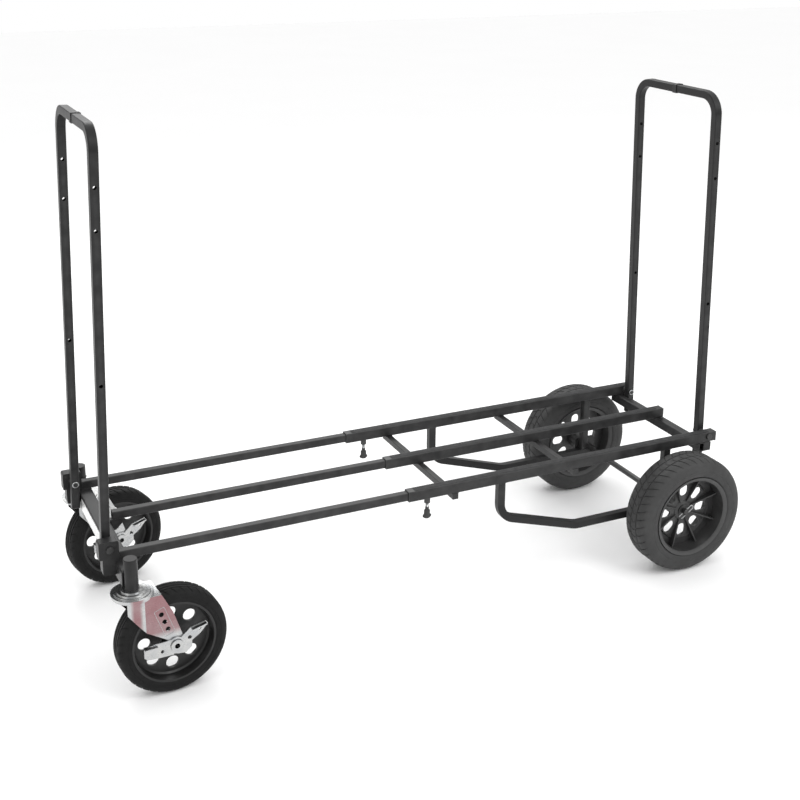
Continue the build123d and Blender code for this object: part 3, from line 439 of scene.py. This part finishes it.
def bead(path, radius, ripple, closed=False):
    """A round bead along a path, swelling and shrinking by ripple every three steps."""
    sides = 8
    rings = []
    steps = len(path)
    for index, point in enumerate(path):
        before = path[index - 1] if closed or index > 0 else path[0]
        after = path[(index + 1) % steps] if closed or index < steps - 1 else path[-1]
        along = (after - before).normalized()
        across = along.cross(Vector((0.3, 0.5, 0.81))).normalized()
        up = along.cross(across)
        size = radius * (1 + ripple * math.cos(index * math.pi * 2 / 3))
        ring = []
        for side in range(sides):
            angle = 2 * math.pi * side / sides
            ring.append(point + (across * math.cos(angle) + up * math.sin(angle)) * size)
        rings.append(ring)
    return loft(rings, closed)


def along_line(corners, step, closed=False):
    """Evenly spaced points along straight runs between corners."""
    points = []
    following = corners[1:] + corners[:1] if closed else corners[1:]
    for start, end in zip(corners, following):
        count = max(2, round((end - start).length / step))
        points += [start.lerp(end, index / count) for index in range(count)]
    if not closed:
        points.append(corners[-1])
    return points


def weld(path, closed=False):
    """A weld along a path."""
    return bead(path, WELD_RADIUS, WELD_RIPPLE, closed)


def weld_line(corners, closed=False):
    """A weld along the straight runs between corners."""
    return weld(along_line(corners, WELD_STEP, closed), closed)


def weld_square(x, y, z, half):
    """A weld round a square tube that meets a level face."""
    corners = [Vector((x + dx * half, y + dy * half, z))
               for dx, dy in ((-1, -1), (1, -1), (1, 1), (-1, 1))]
    return weld_line(corners, True)


def join_meshes(parts):
    """One mesh from several."""
    points = []
    faces = []
    for part_points, part_faces in parts:
        base = len(points)
        points += part_points
        faces += [tuple(base + index for index in face) for face in part_faces]
    return points, faces


def rear_frame_welds():
    """Welds of the side loops, axle posts, cross bars and rear channel under the rails."""
    parts = []
    for side, sign in SIDES:
        y = sign * RAIL_Y
        loop_low, loop_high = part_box(f"{side}_side_loop")
        post_low, post_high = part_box("axle_posts")
        half = (loop_high.y - loop_low.y) / 2
        leg_x = loop_low.x + half
        post_x = (post_low.x + post_high.x) / 2
        for x, z in ((leg_x, RAIL_BOTTOM), (post_x, RAIL_BOTTOM), (post_x, post_low.z)):
            parts.append(weld_square(x, y, z, half))
    for name in ("front_cross_bar", "rear_cross_bar", "rear_cross_channel"):
        low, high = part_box(name)
        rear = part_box("rear_tabs")[0].x if name == "rear_cross_channel" else high.x
        for y in (-RAIL_Y, 0.0, RAIL_Y):
            for x in (low.x, rear):
                ends = [Vector((x, y + share * RAIL_SIZE, RAIL_BOTTOM))
                        for share in (-RAIL_WELD_SHARE, RAIL_WELD_SHARE)]
                parts.append(weld_line(ends))
    points, faces = join_meshes(parts)
    add_piece("rear_frame_welds", points, faces, "rear_frame", "black_tube", sharp=60)


def front_frame_welds():
    """Welds of the inner rails, corner blocks, caster sockets and middle gusset."""
    parts = []
    low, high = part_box("front_cross_channel")
    gusset_low, gusset_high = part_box("middle_rail_gusset")
    for side, sign in SIDES:
        inner_low, inner_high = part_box(f"{side}_inner_rail")
        block_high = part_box(f"{side}_corner_block")[1]
        socket_low, socket_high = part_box(f"{side}_caster_socket")
        for y in (inner_low.y, inner_high.y):
            parts.append(weld_line([Vector((x, y, high.z)) for x in (block_high.x, high.x)]))
        rail_ring = [Vector((block_high.x, y, z)) for y, z in (
            (inner_low.y, inner_low.z), (inner_high.y, inner_low.z),
            (inner_high.y, inner_high.z), (inner_low.y, inner_high.z))]
        parts.append(weld_line(rail_ring, True))
        middle = (socket_low + socket_high) / 2
        radius = (socket_high.x - socket_low.x) / 2
        for height in (low.z, high.z):
            arc = []
            for degrees in range(-90, 91, 10):
                angle = math.radians(degrees)
                arc.append(Vector((middle.x + radius * math.sin(angle),
                                   middle.y - sign * radius * math.cos(angle), height)))
            parts.append(weld(arc))
    for y in (gusset_low.y, gusset_high.y):
        ends = [Vector((gusset_low.x, y, z)) for z in (gusset_low.z, gusset_high.z)]
        parts.append(weld_line(ends))
    points, faces = join_meshes(parts)
    add_piece("front_frame_welds", points, faces, "front_frame", "black_tube", sharp=60)


# ---- grip strips --------------------------------------------------------------------
STRIP_MARGIN = 0.014
STRIP_WIDTH = 0.0135
STRIP_CORNER = 0.0015
STRIP_SUNK = -0.0003
STRIP_PROUD = 0.0004


def rounded_outline(width, height, radius, steps=5):
    """Points of a rounded rectangle about (0, 0), anticlockwise."""
    outline = []
    for index, (sx, sy) in enumerate(((1, 1), (-1, 1), (-1, -1), (1, -1))):
        for step in range(steps + 1):
            angle = math.radians(90 * index + 90 * step / steps)
            outline.append((sx * (width / 2 - radius) + radius * math.cos(angle),
                            sy * (height / 2 - radius) + radius * math.sin(angle)))
    return outline


def slab(outline, low, high, place):
    """A plate from an outline in its own X and Y, between two heights."""
    rings = []
    for height in (low, high):
        rings.append([place @ Vector((x, y, height)) for x, y in outline])
    return loft(rings)


def grip_strips():
    """The dark strip let into the top of each outer rail."""
    for name in ("left_outer_rail", "middle_outer_rail", "right_outer_rail"):
        low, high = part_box(name)
        start = low.x + STRIP_MARGIN
        end = high.x - STRIP_MARGIN
        place = Matrix.Translation(Vector(((start + end) / 2, (low.y + high.y) / 2, high.z)))
        outline = rounded_outline(end - start, STRIP_WIDTH, STRIP_CORNER)
        points, faces = slab(outline, STRIP_SUNK, STRIP_PROUD, place)
        label = name.replace("outer_rail", "grip_strip")
        add_piece(label, points, faces, "rear_frame", "guide_plastic", GRIP)


# ---- thumb screws -------------------------------------------------------------------
KNOB_HEIGHT = 0.024
THREAD_PITCH = 0.001
THREAD_RADII = (3.0, 2.55)
SHANK_STEPS = 40
KNOB_STEPS = 48
KNOB_FLUTES = 12
FLUTE_DEPTH = 0.05

# Rows of the knob: height in metres, share of the wings' reach, half width in mm.
KNOB_ROWS = ((0.0, 0.50, 4.2), (0.001, 0.62, 4.8), (0.0025, 0.78, 5.0), (0.0055, 0.80, 5.0),
             (0.0075, 0.60, 5.0), (0.009, 0.55, 5.2), (0.0155, 0.55, 5.6), (0.0165, 0.50, 5.4),
             (0.018, 0.34, 3.8), (0.024, 0.32, 3.6))


def screw_shank(low, high):
    """Points and faces of a threaded shank with a tapered tip, inside a box."""
    centre = (low + high) / 2
    crest, root = THREAD_RADII
    thread = low.z + KNOB_HEIGHT
    profile = [(2.9, thread - 0.002)]
    while thread < high.z - 0.002:
        profile += [(crest, thread), (root, thread + THREAD_PITCH / 2)]
        thread += THREAD_PITCH
    profile += [(2.9, high.z - 0.001), (2.2, high.z)]
    rings = []
    for radius, z in profile:
        ring = []
        for step in range(SHANK_STEPS):
            angle = 2 * math.pi * step / SHANK_STEPS
            ring.append(Vector((centre.x + radius * MM * math.cos(angle),
                                centre.y + radius * MM * math.sin(angle), z)))
        rings.append(ring)
    return loft(rings)


def screw_knob(low, high):
    """Points and faces of a knob with two wings and a fluted middle, at a box's bottom."""
    centre = (low + high) / 2
    place = Matrix.Translation(Vector((centre.x, centre.y, 0)))
    wing = (high.x - low.x) / 2
    rings = []
    for rise, reach, waist in KNOB_ROWS:
        ring = []
        for step in range(KNOB_STEPS):
            angle = 2 * math.pi * step / KNOB_STEPS
            bulge = abs(math.cos(angle)) ** 1.6
            flute = 1 + FLUTE_DEPTH * math.cos(KNOB_FLUTES * angle) * (1 - bulge)
            x = math.copysign(abs(math.cos(angle)) ** 0.8, math.cos(angle)) * wing * reach
            y = math.sin(angle) * waist * MM * (1 - 0.30 * bulge) * flute
            ring.append(place @ Vector((x, y, low.z + rise)))
        rings.append(ring)
    return loft(rings)


def thumb_screw(side):
    low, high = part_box(f"{side}_thumb_screw")
    body = f"{side}_clamp"
    points, faces = screw_shank(low, high)
    add_piece(f"{side}_thumb_screw_shank", points, faces, body, "zinc_steel")
    points, faces = screw_knob(low, high)
    knob = add_piece(f"{side}_thumb_screw_knob", points, faces, body, "knob_plastic", sharp=50)
    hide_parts(f"{side}_thumb_screw")


# ---- caster fork pressings ----------------------------------------------------------
PRESSING_WIDTH = 0.019
PRESSING_HEIGHT = 0.056
PRESSING_CORNER = 0.002
PRESSING_LEAN = math.radians(19)
PRESSING_AHEAD = 0.019
PRESSING_ABOVE = 0.051
PRESSING_BEAD = 0.0007
FORK_HALF = 0.029


def fork_emboss(side):
    """The pressed frame round the three holes on each fork leg."""
    place = wheel_place(f"{side}_caster_spin", -1)
    parts = []
    for outward in (-1, 1):
        path = []
        for x, z in rounded_outline(PRESSING_WIDTH, PRESSING_HEIGHT, PRESSING_CORNER):
            back = x * math.cos(PRESSING_LEAN) - z * math.sin(PRESSING_LEAN)
            rise = z * math.cos(PRESSING_LEAN) + x * math.sin(PRESSING_LEAN)
            path.append(place @ Vector((PRESSING_AHEAD - back, outward * FORK_HALF,
                                        PRESSING_ABOVE + rise)))
        parts.append(bead(path, PRESSING_BEAD, 0.0, True))
    points, faces = join_meshes(parts)
    # The pressed frame carries the painted rosy reflection too.
    add_piece(f"{side}_fork_pressing", points, faces, f"{side}_caster_swivel", "zinc_steel",
              ZINC_WITH_REFLECTION, 60)


# ---- scene --------------------------------------------------------------------------
FLOOR_REACH = 12.0
SKY_LOW = 0.66
SKY_HIGH = 1.46
LAMP_TARGET = (0, 0, 0.3)
SENSOR_WIDTH = 36

# Soft lights: name, place, size and watts.
LAMPS = (
    ("key", (1.6, -2.6, 3.2), (2.2, 2.2), 60),
    ("fill", (-3.0, -1.2, 2.0), (1.6, 2.6), 16),
    ("back", (0.3, 3.0, 2.8), (3.0, 1.6), 45),
)


def studio_floor():
    """A wide, nearly white floor."""
    material, tree, shader = new_material("studio_floor")
    tone = spread(tree, noise(tree, 1.5, 2), 0.0, 1.0)
    colour = blend_colours(tree, tone, (0.935, 0.935, 0.935), (0.945, 0.945, 0.945))
    tree.links.new(colour, shader.inputs["Base Color"])
    shader.inputs["Roughness"].default_value = 0.6
    mesh = bpy.data.meshes.new("floor")
    corners = [(x * FLOOR_REACH, y * FLOOR_REACH, 0)
               for x, y in ((-1, -1), (1, -1), (1, 1), (-1, 1))]
    mesh.from_pydata(corners, [], [(0, 1, 2, 3)])
    floor = bpy.data.objects.new("floor", mesh)
    floor.data.materials.append(material)
    bpy.context.scene.collection.objects.link(floor)


def studio_world():
    """White to look at, and a soft gradient as light: bright above, dimmer at the horizon."""
    world = bpy.data.worlds.new("studio")
    bpy.context.scene.world = world
    world.use_nodes = True
    tree = world.node_tree
    backdrop = tree.nodes["Background"]
    backdrop.inputs["Color"].default_value = (1, 1, 1, 1)
    backdrop.inputs["Strength"].default_value = 1.0
    sky = tree.nodes.new("ShaderNodeBackground")
    place = tree.nodes.new("ShaderNodeTexCoord")
    split = tree.nodes.new("ShaderNodeSeparateXYZ")
    tree.links.new(place.outputs["Generated"], split.inputs["Vector"])
    brightness = spread(tree, split.outputs["Z"], SKY_LOW, SKY_HIGH, -0.05, 0.75)
    tree.links.new(brightness, sky.inputs["Strength"])
    path = tree.nodes.new("ShaderNodeLightPath")
    mix = tree.nodes.new("ShaderNodeMixShader")
    tree.links.new(path.outputs["Is Camera Ray"], mix.inputs["Fac"])
    tree.links.new(sky.outputs["Background"], mix.inputs[1])
    tree.links.new(backdrop.outputs["Background"], mix.inputs[2])
    tree.links.new(mix.outputs["Shader"], tree.nodes["World Output"].inputs["Surface"])


def soft_light(name, place, size, watts):
    """A rectangular light that faces the middle of the cart."""
    light = bpy.data.lights.new(name, "AREA")
    light.shape = "RECTANGLE"
    light.size, light.size_y = size
    light.energy = watts
    lamp = bpy.data.objects.new(name, light)
    lamp.location = place
    aim = Vector(LAMP_TARGET) - Vector(place)
    lamp.rotation_euler = aim.to_track_quat("-Z", "Y").to_euler()
    bpy.context.scene.collection.objects.link(lamp)


def camera():
    """The camera, turned by yaw from +Y towards +X, then by pitch and roll."""
    data = bpy.data.cameras.new("camera")
    data.sensor_width = SENSOR_WIDTH
    data.lens = CAMERA_LENS
    data.shift_y = CAMERA_SHIFT
    view = bpy.data.objects.new("camera", data)
    bpy.context.scene.collection.objects.link(view)
    forward = Vector((math.sin(CAMERA_YAW) * math.cos(CAMERA_PITCH),
                      math.cos(CAMERA_YAW) * math.cos(CAMERA_PITCH),
                      math.sin(CAMERA_PITCH)))
    level = Vector((math.cos(CAMERA_YAW), -math.sin(CAMERA_YAW), 0))
    upward = level.cross(forward)
    right = math.cos(CAMERA_ROLL) * level + math.sin(CAMERA_ROLL) * upward
    up = right.cross(forward)
    turn = Matrix((right, up, -forward)).transposed().to_4x4()
    view.matrix_world = Matrix.Translation(Vector(CAMERA_PLACE)) @ turn
    bpy.context.scene.camera = view


camera()
paint_cad()
for side, sign in SIDES:
    rear_tyre(side, sign)
    caster_tyre(side)
    thumb_screw(side)
    fork_emboss(side)
rear_frame_welds()
front_frame_welds()
grip_strips()
studio_floor()
studio_world()
for lamp in LAMPS:
    soft_light(*lamp)
bpy.context.scene.view_settings.view_transform = "Standard"
